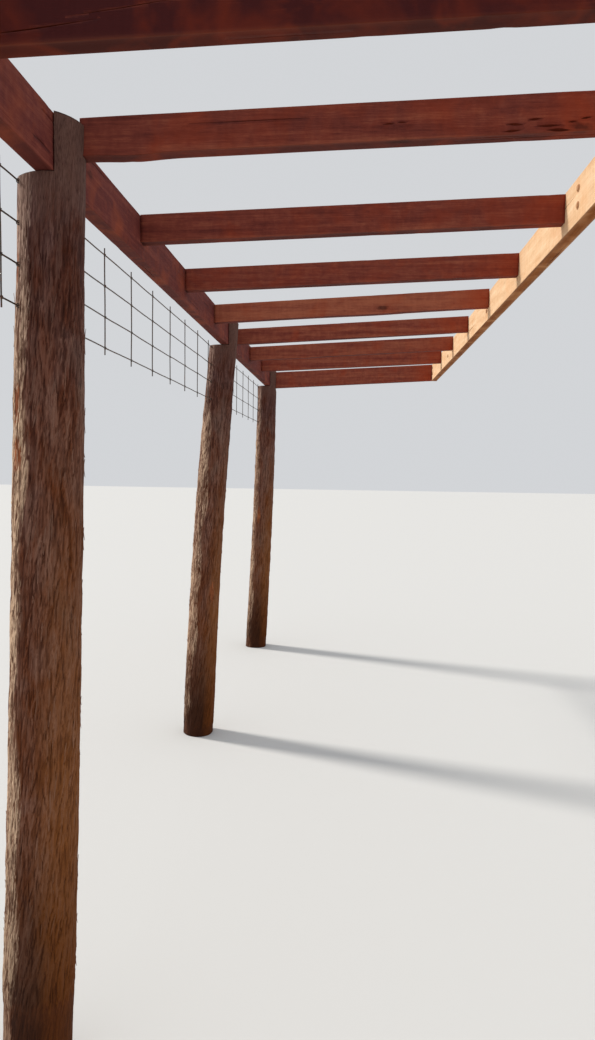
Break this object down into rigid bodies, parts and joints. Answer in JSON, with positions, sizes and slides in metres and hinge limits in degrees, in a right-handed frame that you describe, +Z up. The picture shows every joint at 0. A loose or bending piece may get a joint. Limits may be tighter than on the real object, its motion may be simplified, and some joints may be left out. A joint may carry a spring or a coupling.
{
  "type": "timber veranda frame",
  "caption": "Open timber veranda frame: round log posts, sawn edge beam and wall ledger, open rafters between them and a band of wire netting along the posts.",
  "frame": {"origin": "on the ground, on the flat foot of the first post, in the middle plane of the first rafter", "axes": "+X across the veranda to the house, +Y along the veranda from the first post to the last, +Z up"},
  "size_m": [1.8803, 8.2578, 2.765],
  "materials": {
    "log": "round hardwood log with fibrous weathered bark",
    "beam_timber": "rough sawn red hardwood",
    "ledger_timber": "rough sawn orange hardwood",
    "rafter_timber": "rough sawn red hardwood",
    "netting_wire": "dull weathered wire"
  },
  "bodies": {
    "root": {"post_1": "log", "post_2": "log", "post_3": "log", "post_4": "log", "edge_beam_1": "beam_timber", "edge_beam_2": "beam_timber", "edge_beam_3": "beam_timber", "ledger_1": "ledger_timber", "ledger_2": "ledger_timber", "rafter_01": "rafter_timber", "rafter_02": "rafter_timber", "rafter_03": "rafter_timber", "rafter_04": "rafter_timber", "rafter_05": "rafter_timber", "rafter_06": "rafter_timber", "rafter_07": "rafter_timber", "rafter_08": "rafter_timber", "rafter_09": "rafter_timber", "rafter_10": "rafter_timber", "rafter_11": "rafter_timber", "rafter_12": "rafter_timber", "netting_1": "netting_wire", "netting_2": "netting_wire", "netting_3": "netting_wire"}
  },
  "joints": []
}
